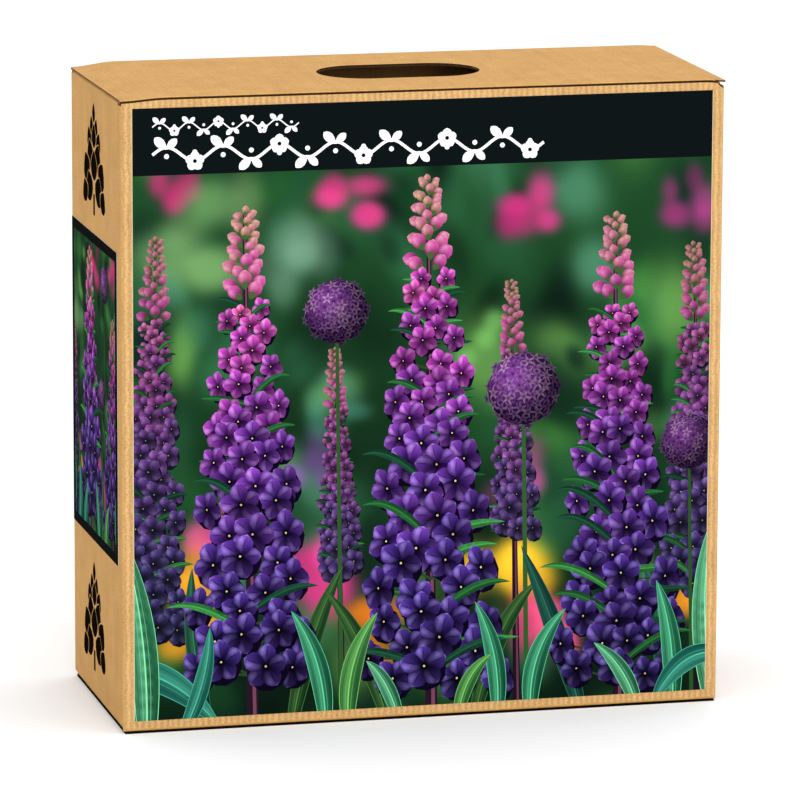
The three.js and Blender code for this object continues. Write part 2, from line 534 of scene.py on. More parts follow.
def makeTuck():
    corner = tuck["corner"]
    bend = tuck["reach"] - corner
    curve = bend + np.sin(np.linspace(0, math.pi / 2, 12)) * corner
    columns = sorted(set(np.linspace(-bend, bend, 9)) | set(curve) | set(-curve))
    bm = flatBoard(columns, (0, 1), lambda x: cornerLoss(abs(x) - bend, corner) - tuck["depth"],
                   lambda x: 0.25 * mm)
    splitAt(bm, (0, -tuck["crushed"], 0), (0, 1, 0))
    # the strip at the top, in the seam under the lid's fold, is painted dark as shade
    for face in bm.faces:
        if face.calc_center_median().y > -tuck["crushed"]:
            face.material_index = paintedShadeSlot
    lean = Matrix.Rotation(math.radians(tuck["lean"]), 3, "X")
    layBoard("tuck_board", bm, "lid", "tuck_flap", (1, 0, 0), lean @ Vector((0, 0, 1)),
             lean @ Vector((0, -1, 0)), (0, tuck["inside"], flapTop))


dust = {
    "front": -63 * mm,
    "rear": 68 * mm,
    "taper": 0.5,
    "corner": 10 * mm,
    "length": 84 * mm,
    "rows": (0, 0.04, 0.08, 0.12, 0.16, 0.2, 0.24, 0.28, 0.32, 0.6, 1),  # close together where it sags
}


# A dust flap of one side, -1 left and 1 right, with its crease
def makeDustFlap(side, body, name):
    hinge = sideFace - roll
    length = dust["length"] - roll
    corner = dust["corner"]

    def reach(y):
        rounded = length - cornerLoss(dust["front"] + corner - y, corner)
        return max(0.1 * mm, min(rounded, (dust["rear"] - y) / dust["taper"] - roll))

    marks = dust["front"] + corner * (1 - np.cos(np.linspace(0, math.pi / 2, 9)))
    slopeStart = dust["rear"] - dust["taper"] * (length + roll)
    slopeEnd = dust["rear"] - dust["taper"] * (roll + 0.1 * mm)
    slope = np.linspace(slopeStart, slopeEnd, 15)  # close enough together to follow the sag
    columns = sorted(side * mark for mark in {*marks, *slope})
    bm = flatBoard(columns, dust["rows"], lambda x: 0.0, lambda x: reach(side * x))
    layBoard(f"{name}_board", bm, body, name, (0, side, 0), (-side, 0, 0), (0, 0, 1),
             (side * hinge, 0, flapTop - board["thickness"]), sags=True)

    centre = (side * hinge, 0, flapTop - roll)
    ends = ((0, dust["front"], 0), (0, slopeEnd, 0))
    start, end = ends if side < 0 else ends[::-1]
    bm = creaseRoll(start, end, centre, (side, 0, 0))
    for face in bm.faces:
        if face.normal.z > 0.9:
            face.material_index = 1  # the second of this piece's two papers, near black: painted shade in the groove under the lid's side
    blendRoll(f"{name}_crease", bm)


base = {
    "inset": 172 * mm,  # the outer panel stands a little inside the side walls
    "flapLength": 110 * mm,
    "flapFront": -68.9 * mm,
    "flapRear": 69.2 * mm,
    "flapTaper": 12 / 110,
}


def makeBase():
    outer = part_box("base_outer_panel")
    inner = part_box("base_inner_panel")
    columns = np.linspace(-base["inset"], base["inset"], 9)
    bm = flatBoard(columns, (0, 1), lambda x: -outer[1].y, lambda x: -frontFace - roll)
    layBoard("base_outer_board", bm, "sleeve", "base_outer_panel", (1, 0, 0), (0, -1, 0), (0, 0, -1),
             (0, 0, board["thickness"]))
    straight = sideFace - sleeve["foldRadius"]
    bm = creaseRoll((-straight, 0, 0), (straight, 0, 0), (0, frontFace + roll, roll), (0, -1, 0))
    boardPiece("base_front_crease", bm, "sleeve")

    columns = np.linspace(inner[0].x, inner[1].x, 9)
    bm = flatBoard(columns, (0, 1), lambda x: roll - inner[1].y, lambda x: -inner[0].y)
    layBoard("base_inner_board", bm, "sleeve", "base_inner_panel", (1, 0, 0), (0, -1, 0), (0, 0, -1),
             (0, 0, inner[1].z))
    bm = creaseRoll((inner[0].x, 0, 0), (inner[1].x, 0, 0), (0, backFace - roll, inner[0].z + roll),
                    (0, 0, -1))
    boardPiece("base_back_crease", bm, "sleeve")

    def reach(y):
        edge = min(y - base["flapFront"], base["flapRear"] - y)
        return max(0.1 * mm, min(base["flapLength"], edge / base["flapTaper"]))

    rims = ((0, frontFace + sleeve["foldRadius"], 0), (0, backFace - sleeve["foldRadius"], 0))
    slope = base["flapTaper"] * base["flapLength"]
    for side, name in ((-1, "base_flap_left"), (1, "base_flap_right")):
        columns = sorted(-side * (end + way * inward) for inward in (0, 0.1 * mm, slope)
                         for end, way in ((base["flapFront"], 1), (base["flapRear"], -1)))
        bm = flatBoard(columns, (0, 1), lambda x: 0.0, lambda x: reach(-side * x))
        hinge = side * (sideFace - roll)
        layBoard(f"{name}_board", bm, "sleeve", name, (0, -side, 0), (-side, 0, 0), (0, 0, -1),
                 (hinge, 0, sleeve["lowerRoll"] + board["thickness"]))
        start, end = rims if side < 0 else rims[::-1]
        bm = creaseRoll(start, end, (hinge, 0, sleeve["lowerRoll"] + roll), (0, 0, -1))
        boardPiece(f"{name}_crease", bm, "sleeve")


print("Folding the sleeve")
makeSleeve()
print("Folding the base")
makeBase()
print("Cutting the lid and its hand slot")
makeLid()
makeTuck()
makeDustFlap(-1, "left_flap", "dust_flap_left")
makeDustFlap(1, "right_flap", "dust_flap_right")


# The printed pictures are drawn in millimetres from a sheet's lower left corner, as flat shapes
# with the later over the earlier. One mesh is cut from them and its corners carry the ink

def mix(a, b, share):
    share = np.atleast_1d(share)[:, None]
    return a * (1 - share) + b * share


def rise(values, low, high):
    share = np.clip((values - low) / (high - low), 0, 1)
    return share * share * (3 - 2 * share)


def turned(angle, wide=1.0, tall=1.0):
    c, s = math.cos(angle), math.sin(angle)
    return np.array([[c, -s], [s, c]]) @ np.diag([wide, tall])


def area(outline):
    x, y = outline.T
    return (x * np.roll(y, -1) - np.roll(x, -1) * y).sum() / 2


# A shape that its ink function colours, from places in the shape's own axes. The colours are
# taken at the outline and at the inner points
def addShape(shapes, outline, ink, inner=(), matrix=np.eye(2), centre=(0, 0)):
    outline = np.asarray(outline) @ matrix.T + centre
    if area(outline) < 0:
        outline = outline[::-1]
    inner = np.asarray(inner, float).reshape(-1, 2) @ matrix.T + centre
    shapes.append({"outline": outline, "inner": inner, "back": np.linalg.inv(matrix),
                   "centre": np.asarray(centre, float), "ink": ink})


def plainInk(colour):
    return lambda x, y: np.tile(colour, (len(x), 1))


def addFlat(shapes, outline, colour, matrix=np.eye(2), centre=(0, 0)):
    addShape(shapes, outline, plainInk(colour), (), matrix, centre)


def block(left, foot, right, top):
    return ((left, foot), (right, foot), (right, top), (left, top))


def disc(sides):
    turns = np.linspace(0, 2 * math.pi, sides, endpoint=False)
    return np.column_stack((np.cos(turns), np.sin(turns)))


def leafOutline(half, along):
    return np.vstack((np.column_stack((half, along)), np.column_stack((-half, along))[-2::-1]))


def normals(line):
    way = np.gradient(line, axis=0)
    return np.column_stack((-way[:, 1], way[:, 0])) / np.linalg.norm(way, axis=1)[:, None]


petal = {
    "along": np.array([0, 0.12, 0.3, 0.52, 0.74, 0.9, 1.0]),
    "half": np.array([0.05, 0.17, 0.32, 0.42, 0.38, 0.22, 0.0]),
    "inner": ((0, 0.2), (0, 0.45), (0, 0.68), (0, 0.88), (0.2, 0.48), (-0.2, 0.48), (0.2, 0.74),
              (-0.2, 0.74)),
    "fold": ((0.0, 0.16), (0.035, 0.5), (0.0, 0.9), (-0.035, 0.5)),
}
petal["outline"] = leafOutline(petal["half"], petal["along"])


def petalInk(base, tip, glow, side):
    def ink(x, y):
        colour = mix(base, tip, rise(y, 0.1, 0.85))
        light = np.exp(-((x - 0.15 * side) / 0.14) ** 2 - ((y - 0.66) / 0.24) ** 2)
        colour = mix(colour, glow, 0.75 * light)
        return mix(colour, glow, 0.6 * rise(y, 0.9, 1.0))
    return ink


# Ink of a blossom from the foot of its spike, 0, to the top, 1: base, tip and lit edge of a petal
blossomTones = [
    (0.0, "0a0820", "33265f", "9a8fd2"),
    (0.3, "140b30", "452c76", "a394da"),
    (0.52, "270e44", "6a388c", "ba98e0"),
    (0.72, "4a1350", "a04098", "dc98d4"),
    (0.88, "6d2450", "c8609c", "f2b6d2"),
    (1.0, "5c5234", "b87f86", "e6cf9e"),
]


def blossomInks(height):
    marks = [row[0] for row in blossomTones]
    tones = [np.array([tone(row[i]) for row in blossomTones]) for i in (1, 2, 3)]
    return [np.array([np.interp(height, marks, table[:, k]) for k in range(3)]) for table in tones]


# An open five petalled blossom, seen more from the side the further it stands from its stem
def addBlossom(shapes, rng, centre, size, squash, height, dim, haze):
    base, tip, glow = blossomInks(height)
    turn = rng.uniform(0, 2 * math.pi)
    view = turned(rng.uniform(-0.3, 0.3), squash, 1.0)
    soft = (lambda c: c * dim) if haze is None else (lambda c: (c * 0.82 + haze * 0.18) * dim)
    addFlat(shapes, disc(11), soft(tone("100a22")), view * size * 0.48,
            centre + np.array([0.04, -0.1]) * size)
    for k in rng.sample(range(5), 5):
        angle = turn + k * 2 * math.pi / 5
        light = 1 + 0.24 * math.cos(angle - 0.5) + rng.uniform(-0.1, 0.1)
        reach = size * 0.54 * rng.uniform(0.9, 1.08)
        side = -1 if math.cos(angle) > 0 else 1
        lit = [soft(np.clip(c * light, 0, 1)) for c in (base, tip, glow)]
        matrix = view @ turned(angle, reach * 0.98, reach)
        addShape(shapes, petal["outline"], petalInk(*lit, side), petal["inner"], matrix, centre)
        if haze is None:
            addFlat(shapes, petal["fold"], lit[0] * 0.45 + lit[1] * 0.55, matrix, centre)
    addFlat(shapes, disc(7), soft(tone("0a0512")), view * size * 0.075, centre)
    addFlat(shapes, disc(5), soft(tone("cdbf8a")), view * size * 0.03, centre)


def addBud(shapes, centre, size, angle, height, dim=1.0):
    base, tip, glow = blossomInks(height)
    addShape(shapes, petal["outline"], petalInk(base * dim * 1.1, tip * dim, glow * dim, -1),
             petal["inner"], turned(angle, size * 0.85, size), centre)
    addFlat(shapes, petal["outline"], tone("49683a") * dim, turned(angle, size * 0.4, size * 0.4), centre)


def addLine(shapes, start, end, startWidth, endWidth, colour):
    start, end = np.asarray(start, float), np.asarray(end, float)
    way = (end - start) / np.linalg.norm(end - start)
    side = np.array([-way[1], way[0]])
    addFlat(shapes, (start - side * startWidth / 2, start + side * startWidth / 2,
                     end + side * endWidth / 2, end - side * endWidth / 2), colour)


# A narrow leaf along a bent line: two halves lit differently, a pale midrib and faint veins
def addStrap(shapes, start, bend, end, width, dark, light, veins=True):
    t = np.linspace(0, 1, 17)[:, None]
    line = (1 - t) ** 2 * np.array(start) + 2 * (1 - t) * t * np.array(bend) + t ** 2 * np.array(end)
    normal = normals(line)
    half = width / 2 * np.sin(math.pi * (0.14 + 0.86 * t)) ** 0.8
    half[-1] = 0

    def leafInk(side):
        def ink(x, y):
            gaps = np.hypot(x[:, None] - line[:, 0], y[:, None] - line[:, 1])
            share = gaps.argmin(axis=1) / 16
            out = gaps.min(axis=1) / (width / 2)
            level = 0.12 + 0.45 * share + (0.32 if side > 0 else 0.0) + 0.18 * np.sin(out * 5 + share * 3)
            return np.clip(mix(dark, light, np.clip(level, 0, 1.1)), 0, 1)
        return ink

    def stripe(side, place, thick, colour):
        middle = line + normal * half * side * place
        edge = normal * thick / 2 * (1 - t * 0.7)
        addFlat(shapes, np.vstack((middle[:-1] + edge[:-1], middle[-1:], (middle - edge)[-2::-1])), colour)

    for side in (-1, 1):
        rim = line + normal * half * side
        inner = np.vstack([(line + normal * half * side * place)[1:-1] for place in (0.3, 0.65)])
        addShape(shapes, np.vstack((line, rim[-2::-1])), leafInk(side), inner)
        if veins:
            stripe(side, 0.33, width * 0.025, mix(dark, light, 0.95)[0])
            stripe(side, 0.64, width * 0.025, mix(dark, light, 0.2)[0])
            stripe(side, 0.96, width * 0.03, np.clip(light * 1.14, 0, 1))
    stripe(1, 0.0, width * 0.075, np.clip(light * 1.14, 0, 1))


# A tall flowering spike: stem, thin leaves, blossoms in staggered rows and buds at the top
def addSpike(shapes, rng, foot, top, width, size, dim=1.0, haze=None, bare=0.0):
    foot, top = np.array(foot, float), np.array(top, float)
    length = np.linalg.norm(top - foot)
    way = (top - foot) / length
    side = np.array([way[1], -way[0]])
    addLine(shapes, foot, top, size * 0.3, size * 0.07, tone("2e1a2c") * dim)
    addLine(shapes, foot + side * size * 0.05, top, size * 0.09, size * 0.03, tone("7a4a60") * dim)
    at = length * 0.99
    index = 0
    while at > max(size * 0.4, length * bare):
        height = at / length
        index += 1
        half = width / 2 * (0.07 + 0.93 * (1 - height) ** 0.85)
        bloom = size * (0.22 + 0.78 * min(1.0, 1.5 * (1 - height) ** 0.8))
        middle = foot + way * at
        if height > 0.83:
            for place in ((-0.9, 0.05, 0.8) if index % 2 else (-0.55, 0.55)):
                place += rng.uniform(-0.15, 0.15)
                lean = -1.25 * place + rng.uniform(-0.2, 0.2)
                addBud(shapes, middle + side * half * place * 0.4, bloom * rng.uniform(0.85, 1.05), lean,
                       min(1.0, height + rng.uniform(-0.03, 0.06)), dim)
            at -= bloom * 0.5
            continue
        for direction in (-1, 1):
            if rng.random() < 0.55:
                reach = half * rng.uniform(1.05, 1.4)
                lift = rng.uniform(-0.1, 0.9) * bloom
                tip = middle + side * direction * reach + way * lift
                green = tone(rng.choice(("24552f", "35703c", "1b4030"))) * dim
                addStrap(shapes, middle, middle + side * direction * reach * 0.6 + way * lift * 1.3, tip,
                         bloom * 0.2, green * 0.7, green * 1.5, False)
        count = 2 + (height < 0.68) + (height < 0.25)
        places = [(k + 0.5 + (0.25 if index % 2 else -0.25)) / count * 2 - 1 for k in range(count)]
        places.sort(key=lambda place: -abs(place))
        for place in places:
            place = min(max(place + rng.uniform(-0.12, 0.12), -1), 1)
            lift = np.array([0, rng.uniform(-0.22, 0.22) * bloom])
            centre = middle + side * half * place * 0.95 + lift
            addLine(shapes, middle - way * bloom * 0.3, centre, size * 0.06, size * 0.05,
                    tone("35492f") * dim)
            squash = 0.48 + 0.52 * math.sqrt(max(0.0, 1 - 0.9 * place * place))
            addBlossom(shapes, rng, centre, bloom * rng.uniform(0.9, 1.06), squash,
                       height * rng.uniform(0.9, 1.08), dim * rng.uniform(0.9, 1.05), haze)
        at -= bloom * 0.62


# A round flower head of many small stars on one bare stalk
def addGlobe(shapes, rng, centre, radius, foot, dim=1.0):
    centre = np.array(centre, float)
    addLine(shapes, foot, centre, radius * 0.14, radius * 0.1, tone("3f6a3a") * dim)
    shadow, lit = tone("1c0e2c") * dim, tone("8a4c9c") * dim

    def ball(x, y):
        return mix(lit, shadow, rise(np.hypot(x + 0.3, y - 0.35), 0.1, 1.2))

    addShape(shapes, disc(22), ball, disc(9) * 0.55, np.eye(2) * radius * 0.94, centre)
    star = disc(10) * np.where(np.arange(10) % 2, 0.36, 1.0)[:, None]
    count, goldenTurn = 60, 2.39996
    for i in reversed(range(count)):
        out = math.sqrt((i + 0.5) / count)
        angle = i * goldenTurn
        spot = np.array([math.cos(angle), math.sin(angle)]) * out
        light = 0.45 + 0.62 * max(0.0, 1 - math.hypot(spot[0] + 0.35, spot[1] - 0.4) / 1.3)
        squash = math.sqrt(max(0.12, 1 - 0.8 * out * out))
        view = turned(angle, squash, 1.0) @ turned(rng.uniform(0, 1), radius * 0.2, radius * 0.2)
        pale = np.clip(tone(rng.choice(("c48ad6", "b06cc4", "d7a2dc", "9a58b4"))) * light, 0, 1) * dim
        addShape(shapes, star, lambda x, y, pale=pale: mix(pale * 0.4, pale, rise(np.hypot(x, y), 0.1, 0.5)),
                 [(0, 0)], view, centre + spot * radius)


backdrop = {
    "greens": ("0c1f14", "14301d", "1e4a2a", "2f6a38", "4b8a43", "74a858", "0a1a15", "122c22", "3a7350",
               "5f9a7c", "27573a"),
    "spots": 230,
    "clump": 6,  # spots in each patch of flowers
    "low": "0f2418",
    "high": "24502e",
}


# Out of focus garden behind: soft patches of leaf and flower colour
def gardenBackdrop(seed, width, height, patches):
    rng = random.Random(seed)
    spots = []
    for _ in range(backdrop["spots"]):
        spots.append((rng.uniform(-0.05, 1.05) * width, rng.uniform(-0.05, 1.05) * height,
                      rng.uniform(0.016, 0.06) * width, rng.uniform(0.022, 0.085) * width,
                      rng.uniform(-0.8, 0.8), tone(rng.choice(backdrop["greens"])),
                      rng.uniform(0.35, 0.9)))
    for across, up, size, code, strength in patches:
        for _ in range(backdrop["clump"]):
            spots.append(((across + rng.uniform(-0.5, 0.5) * size) * width,
                          up * height + rng.uniform(-0.5, 0.5) * size * width,
                          size * width * rng.uniform(0.2, 0.42), size * width * rng.uniform(0.2, 0.42), 0.0,
                          np.clip(tone(code) * rng.uniform(0.75, 1.15), 0, 1), strength))

    def ink(x, y):
        colour = mix(tone(backdrop["low"]), tone(backdrop["high"]), rise(y, 0, height))
        for sx, sy, wide, tall, lean, patch, strength in spots:
            dx, dy = x - sx, y - sy
            u = dx * math.cos(lean) + dy * math.sin(lean)
            v = dy * math.cos(lean) - dx * math.sin(lean)
            near = (u / wide) ** 2 + (v / tall) ** 2
            colour = mix(colour, patch, strength * np.exp(-near ** 1.5))
        return np.clip(colour, 0, 1)
    return ink


# Ornament on the dark band: a running stem with leaf pairs, berries and open blossoms
def addVine(shapes, start, end, level, reach, stem, pitch):
    white, dark = (tone(code) for code in frontPicture["ornament"])
    count = round((end - start) / pitch)
    pitch = (end - start) / count
    marks = np.linspace(start, end, count * 12 + 1)
    wave = level + np.sin((marks - start) / pitch * math.pi) * reach * 0.24
    line = np.column_stack((marks, wave))
    edge = normals(line) * stem / 2
    addFlat(shapes, np.vstack((line + edge, (line - edge)[::-1])), white)
    for k in range(count):
        up = 1 if k % 2 == 0 else -1
        crest = np.array([start + (k + 0.5) * pitch, level + up * reach * 0.24])
        addFlat(shapes, disc(10), white, np.eye(2) * reach * 0.085, crest - np.array([0, up * reach * 0.3]))
        if k % 3 == 1:
            for j in range(5):
                addFlat(shapes, petal["outline"], white,
                        turned(j * 2 * math.pi / 5, reach * 0.36, reach * 0.33), crest)
            addFlat(shapes, disc(8), dark, np.eye(2) * reach * 0.07, crest)
            continue
        for lean, size in ((-0.8, 0.56), (0.8, 0.48)):
            angle = -lean if up > 0 else math.pi + lean
            addFlat(shapes, petal["outline"], white, turned(angle, reach * size * 0.66, reach * size),
                    crest - np.array([0, up * reach * 0.06]))


def cutApart(shapes):
    ends = np.cumsum([0, *(len(shape["outline"]) for shape in shapes)])
    faces = [list(range(first, last)) for first, last in zip(ends, ends[1:])]
    cloud = np.vstack([shape["outline"] for shape in shapes])
    return delaunay_2d_cdt([Vector(p) for p in cloud], [], faces, 0, 1e-4, True)


# Cuts all the shapes against each other and keeps only the lines that show
def visibleLines(shapes):
    cut = cutApart(shapes)
    verts = np.array([tuple(p) for p in cut[0]])
    triangles = np.array(cut[2])
    a, b, c = (verts[triangles[:, i]] for i in range(3))
    (ux, uy), (vx, vy) = (b - a).T, (c - a).T
    areas = np.abs(ux * vy - uy * vx) / 2
    owned = np.bincount(np.concatenate([np.array(owner, int) for owner in cut[5]]), minlength=len(shapes),
                        weights=np.repeat(areas, [len(owner) for owner in cut[5]]))
    sizes = np.array([abs(area(shape["outline"])) for shape in shapes])
    sound = owned < sizes * 1.2 + 0.05  # a shape too fine to close would flood the sheet
    tops = np.array([max(i for i in owner if sound[i]) if 0 in owner else -1 for owner in cut[5]])
    edges = np.sort(triangles[:, [0, 1, 1, 2, 2, 0]].reshape(-1, 2), axis=1)
    edges, place, count = np.unique(edges, axis=0, return_inverse=True, return_counts=True)
    lowest, highest = np.full(len(edges), len(shapes)), np.full(len(edges), -1)
    np.minimum.at(lowest, place.ravel(), np.repeat(tops, 3))
    np.maximum.at(highest, place.ravel(), np.repeat(tops, 3))
    shown = (lowest != highest) | ((count == 1) & (highest >= 0))
    links = {}
    for a, b in edges[shown].tolist():
        links.setdefault(a, set()).add(b)
        links.setdefault(b, set()).add(a)
    for vert in list(links):  # points on straight stretches, left by hidden lines, aren't needed
        if len(links[vert]) == 2:
            a, b = links[vert]
            span = verts[b] - verts[a]
            gap = verts[vert] - verts[a]
            if b not in links[a] and abs(span[0] * gap[1] - span[1] * gap[0]) < 0.01 * math.hypot(*span):
                for end, other in ((a, b), (b, a)):
                    links[end].remove(vert)
                    links[end].add(other)
                del links[vert]
    return verts, triangles, tops, links


# One flat mesh of the picture, with the ink at each of its corners
def inkSheet(shapes, width, height, spacing):
    verts, triangles, tops, links = visibleLines(shapes)
    tree = BVHTree.FromPolygons([(x, y, 0) for x, y in verts], triangles.tolist())

    def topAt(x, y):
        face = tree.ray_cast((x, y, 1), (0, 0, -1))[2]
        return -1 if face is None else tops[face]

    names = {vert: i for i, vert in enumerate(links)}
    points = [verts[vert] for vert in links]
    lines = []
    for a in links:
        for b in [vert for vert in links[a] if vert > a]:
            pieces = max(1, round(np.linalg.norm(verts[a] - verts[b]) / (2 * spacing)))
            chain = [names[a], *range(len(points), len(points) + pieces - 1), names[b]]
            points += [mix(verts[a], verts[b], i / pieces)[0] for i in range(1, pieces)]
            lines += zip(chain, chain[1:])
    for index, shape in enumerate(shapes):
        points += [point for point in shape["inner"] if topAt(*point) == index]
    for x in np.linspace(0, width, round(width / spacing) + 1)[1:-1]:
        for y in np.linspace(0, height, round(height / spacing) + 1)[1:-1]:
            if topAt(x, y) == 1:
                points.append(np.array((x, y)))
    cut = delaunay_2d_cdt([Vector(p) for p in points], lines, [], 0, 1e-4, False)
    verts = np.array([tuple(p) for p in cut[0]])
    middles = verts[np.array(cut[2])].mean(axis=1)
    found = np.array([topAt(*middle) for middle in middles])
    triangles = [corners for corners, top in zip(cut[2], found) if top >= 0]
    tops = np.repeat(found[found >= 0], 3)
    corners = np.array(triangles).ravel()
    ink = np.ones((len(corners), 4))
    order = np.argsort(tops, kind="stable")
    for group in np.split(order, np.flatnonzero(np.diff(tops[order])) + 1):
        shape = shapes[tops[group[0]]]
        local = (verts[corners[group]] - shape["centre"]) @ shape["back"].T
        ink[group, :3] = shape["ink"](local[:, 0], local[:, 1])
    ink[:, :3] = linear(np.clip(ink[:, :3], 0, 1) ** printing["dotGain"])
    return verts, triangles, ink


printing = {
    "dotGain": 1.14,  # ink spreads on paper and darkens the middle tones
    "whiteness": 0.76,  # of the coated paper under the ink
    "paper": "dccfae",
    "bare": (0.8, 0.77, 0.68, 1),  # the paper's cut edges and back
    "spacing": 2.4,  # of the points that carry the backdrop's colours, in mm
}


# Offset print on coated paper with a dull varnish: smooth, hardly glossy, and a faint unevenness
# from the board behind it
def offsetPrint():
    material, tree, shader = newMaterial("offset_print", 0.5, 1.45, 0.001)
    ink = addNode(tree, "Attribute", attribute_name="ink", attribute_type="GEOMETRY").outputs["Color"]
    grain = noise(tree, addNode(tree, "TexCoord").outputs["Object"], 1.6 * mm)
    connect(tree, shader, scaled(tree, ink, printing["whiteness"]), grain, 0.01 * mm, 0.4)
    return material


printedPaper = offsetPrint()
blackInk = grainyPaper("flexo_ink", 0.8, 0.0, 1.4 * mm, "050302", "150f08")


def dropLoose(bm):
    bmesh.ops.delete(bm, geom=[vert for vert in bm.verts if not vert.link_faces], context="VERTS")


def printPiece(name, bm, material):
    bmesh.ops.recalc_face_normals(bm, faces=bm.faces[:])
    piece = meshPiece(name, bm, (material,))
    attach(piece, "sleeve")
    return piece


# A printed sheet: the picture on its face, paper on its edges and back
def placeSheet(name, node, sheet, thickness, place):
    verts, triangles, ink = sheet
    origin, uWay, vWay, outWay = place
    placed = verts[:, :1] * mm * np.array(uWay) + verts[:, 1:] * mm * np.array(vWay) + np.array(origin)
    mesh = bpy.data.meshes.new("picture")
    mesh.from_pydata(placed, [], triangles)
    mesh.attributes.new("ink", "FLOAT_COLOR", "CORNER").data.foreach_set("color", ink.ravel())
    bm = bmesh.new()
    bm.from_mesh(mesh)
    bpy.data.meshes.remove(mesh)
    dropLoose(bm)
    printed = len(bm.faces)
    rim = [edge for edge in bm.edges if edge.is_boundary]
    drop = bmesh.ops.extrude_edge_only(bm, edges=rim)["geom"]
    shiftBy(bm, Vector(outWay) * -thickness, drop)
    under = [item for item in drop if isinstance(item, bmesh.types.BMEdge) and item.is_boundary]
    bmesh.ops.contextual_create(bm, geom=under)
    layer = bm.loops.layers.float_color["ink"]
    bm.faces.ensure_lookup_table()
    for face in bm.faces[printed:]:
        for loop in face.loops:
            loop[layer] = printing["bare"]
    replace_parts(printPiece(name, bm, printedPaper), node)
    print("  ", name, printed, "triangles")


# Places and sizes along a picture are shares of its width and height, the others millimetres
frontPicture = {
    "seeds": (11, 5),  # for the plants and for the backdrop
    "band": 310.0,  # foot of the dark band
    "bandInk": "11191a",
    "ornament": ("f4f5f5", "0a0f10"),
    # running stems on the band: start, end, height above its foot, reach, thickness, pitch
    "vines": ((11.6, 235.6, 11.5, 17, 1.7, 16), (11.6, 94.6, 27, 9.5, 0.7, 8.3)),
    "paperEdge": 0.3,  # unprinted paper down the left and right edges
    # spikes from the back to the front: foot, top, width, blossom, dimming, bare foot
    "spikes": (
        (0.36, -0.02, 0.345, 0.60, 36, 14, 0.84, 0.4),
        (0.665, -0.02, 0.65, 0.70, 40, 15, 0.86, 0.42),
        (0.02, -0.02, 0.04, 0.79, 52, 17, 0.84, 0.2),
        (0.99, -0.02, 0.97, 0.75, 54, 18, 0.84, 0.24),
        (0.845, -0.05, 0.83, 0.80, 84, 23, 0.95, 0.1),
        (0.205, -0.06, 0.19, 0.83, 88, 24, 1.0, 0.12),
        (0.515, -0.06, 0.505, 0.872, 94, 25, 1.0, 0.08),
    ),
    "globes": ((0.348, 0.66, 19, 0.86), (0.672, 0.52, 22, 0.9), (0.965, 0.42, 17, 0.8)),
    # patches of the backdrop: place across and up, size, colour, strength
    "patches": ((0.07, 0.86, 0.07, "d8327e", 0.6), (0.12, 0.78, 0.15, "86b173", 0.6),
                (0.29, 0.74, 0.12, "7ea58c", 0.5), (0.12, 0.32, 0.10, "ea5f9c", 0.7),
                (0.36, 0.84, 0.09, "dc4a8c", 0.8), (0.68, 0.83, 0.09, "d03f86", 0.75),
                (0.95, 0.82, 0.08, "b8468e", 0.6),
                (0.09, 0.17, 0.13, "f0a830", 0.85), (0.31, 0.22, 0.12, "ea4f98", 0.85),
                (0.40, 0.12, 0.10, "f08c2c", 0.85), (0.63, 0.22, 0.12, "f0bc36", 0.85),
                (0.72, 0.13, 0.11, "ee5f8c", 0.85), (0.95, 0.2, 0.12, "f0a034", 0.85),
                (0.30, 0.42, 0.07, "8a5aa8", 0.5), (0.66, 0.38, 0.08, "c0569a", 0.5),
                (0.35, 0.52, 0.08, "5c9a8a", 0.4), (0.6, 0.6, 0.08, "7ab468", 0.5)),
    # leaves: foot, bend, tip, width
    "leavesBehind": ((0.27, -0.03, 0.30, 0.14, 0.36, 0.24, 11), (0.44, -0.03, 0.40, 0.12, 0.33, 0.2, 11),
                     (0.59, -0.03, 0.62, 0.13, 0.70, 0.2, 11), (0.78, -0.03, 0.74, 0.11, 0.67, 0.26, 12),
                     (0.13, -0.03, 0.09, 0.14, 0.10, 0.25, 10), (0.92, -0.03, 0.93, 0.15, 0.88, 0.24, 10)),
    "leaves": ((-0.04, 0.08, 0.05, 0.10, 0.15, -0.02, 17), (0.02, -0.06, 0.03, 0.14, -0.02, 0.31, 16),
               (0.08, -0.03, 0.13, 0.06, 0.13, 0.15, 10), (0.33, -0.03, 0.33, 0.09, 0.27, 0.17, 12),
               (0.37, -0.03, 0.36, 0.08, 0.42, 0.16, 12), (0.46, -0.03, 0.44, 0.05, 0.4, 0.08, 9),
               (0.63, -0.03, 0.64, 0.08, 0.59, 0.17, 11), (0.69, -0.03, 0.68, 0.08, 0.75, 0.15, 12),
               (0.56, -0.03, 0.57, 0.05, 0.62, 0.08, 9), (1.02, -0.05, 0.98, 0.14, 1.01, 0.29, 16),
               (0.94, -0.04, 0.95, 0.09, 0.91, 0.19, 12), (0.88, -0.03, 0.86, 0.05, 0.8, 0.09, 10),
               (1.03, 0.06, 0.95, 0.08, 0.9, -0.03, 13)),
}
